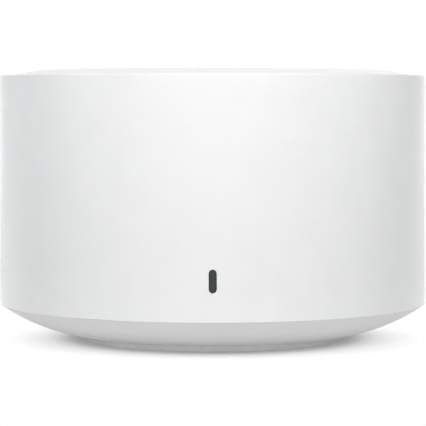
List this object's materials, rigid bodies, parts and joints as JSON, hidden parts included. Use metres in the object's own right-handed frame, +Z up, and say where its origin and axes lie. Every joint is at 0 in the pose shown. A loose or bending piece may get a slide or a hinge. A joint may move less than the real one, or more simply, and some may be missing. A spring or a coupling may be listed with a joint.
{
  "type": "mesh wifi node",
  "caption": "Squat white drum-shaped wireless mesh node with a perforated crown, a status window, a recessed rear port panel and a rubber foot ring.",
  "frame": {"origin": "centre of the foot ring's underside", "axes": "+Z up along the drum's axis, -Y through the status window at the front, +Y out of the port panel"},
  "size_m": [0.106, 0.106, 0.0668],
  "materials": {
    "white_shell": "fine satin moulded white",
    "white_cover": "fine matt moulded white",
    "white_base": "fine matt moulded white",
    "foot_rubber": "soft matt off-white silicone",
    "label_film": "satin printed film, blank",
    "smoked_window": "polished smoked",
    "clear_guide": "clear, polished",
    "lamp_body": "white package with a clear dome",
    "board_laminate": "green solder mask over glass laminate",
    "chip_black": "black moulding compound",
    "ferrite_grey": "matt sintered ferrite",
    "capacitor_can": "bright drawn sleeve",
    "tinned_steel": "tin plated, bright",
    "thermal_pad": "soft matt filled silicone",
    "sink_aluminium": "clear anodised extrusion",
    "pin_nylon": "black nylon",
    "plate_aluminium": "mill finish sheet",
    "panel_plastic": "fine matt moulded white",
    "socket_plastic": "black glass-filled nylon",
    "contact_gold": "gold flashed",
    "socket_steel": "nickel plated, satin",
    "tongue_plastic": "black liquid crystal polymer",
    "button_plastic": "fine matt moulded pale grey",
    "switch_plastic": "black nylon",
    "stem_plastic": "natural acetal",
    "carrier_plastic": "black moulded",
    "antenna_laminate": "green glass laminate",
    "copper_trace": "copper under clear lacquer",
    "coax_jacket": "extruded fluoropolymer jacket",
    "screw_steel": "zinc plated"
  },
  "bodies": {
    "housing": {"drum_shell": "white_shell", "top_cover": "white_cover", "base_cup": "white_base", "foot_ring": "foot_rubber", "rating_label": "label_film", "led_lens": "smoked_window", "light_pipe": "clear_guide", "status_led": "lamp_body", "main_board": "board_laminate", "soc_chip": "chip_black", "memory_chips": "chip_black", "radio_chips": "chip_black", "lan_transformers": "chip_black", "power_inductors": "ferrite_grey", "board_capacitors": "capacitor_can", "soc_shield": "tinned_steel", "radio_shield_left": "tinned_steel", "radio_shield_right": "tinned_steel", "thermal_pads_soc": "thermal_pad", "thermal_pads_plate": "thermal_pad", "heat_sink": "sink_aluminium", "heat_sink_pins": "pin_nylon", "heat_plate": "plate_aluminium", "port_bezel": "panel_plastic", "lan_jack_one_shield": "socket_steel", "lan_jack_one_insert": "socket_plastic", "lan_jack_one_contacts": "contact_gold", "lan_jack_two_shield": "socket_steel", "lan_jack_two_insert": "socket_plastic", "lan_jack_two_contacts": "contact_gold", "power_jack_shell": "socket_steel", "power_jack_tongue": "tongue_plastic", "pair_switch_body": "switch_plastic", "reset_switch_body": "switch_plastic", "antenna_carrier": "carrier_plastic", "antenna_front": "antenna_laminate", "antenna_trace_front": "copper_trace", "coax_front": "coax_jacket", "antenna_right": "antenna_laminate", "antenna_trace_right": "copper_trace", "coax_right": "coax_jacket", "antenna_rear": "antenna_laminate", "antenna_trace_rear": "copper_trace", "coax_rear": "coax_jacket", "antenna_left": "antenna_laminate", "antenna_trace_left": "copper_trace", "coax_left": "coax_jacket", "coax_plugs": "contact_gold", "case_screws": "screw_steel"},
    "pair_button": {"pair_button": "button_plastic"},
    "pair_stem": {"pair_switch_stem": "stem_plastic"},
    "reset_stem": {"reset_switch_stem": "stem_plastic"}
  },
  "joints": [
    {"name": "pair_button_press", "type": "slide", "parent": "housing", "child": "pair_button", "axis": [0, -1, 0], "range_m": [0, 0.0005], "stiffness_N_per_m": 2000, "springref_m": -0.0002},
    {"name": "pair_stem_press", "type": "slide", "parent": "housing", "child": "pair_stem", "axis": [0, -1, 0], "range_m": [0, 0.0005]},
    {"name": "reset_stem_press", "type": "slide", "parent": "housing", "child": "reset_stem", "axis": [0, -1, 0], "range_m": [0, 0.00025], "stiffness_N_per_m": 6000, "springref_m": -0.0001}
  ],
  "couplings": [
    {"joint": "pair_stem_press", "follows": "pair_button_press", "ratio": 1}
  ]
}
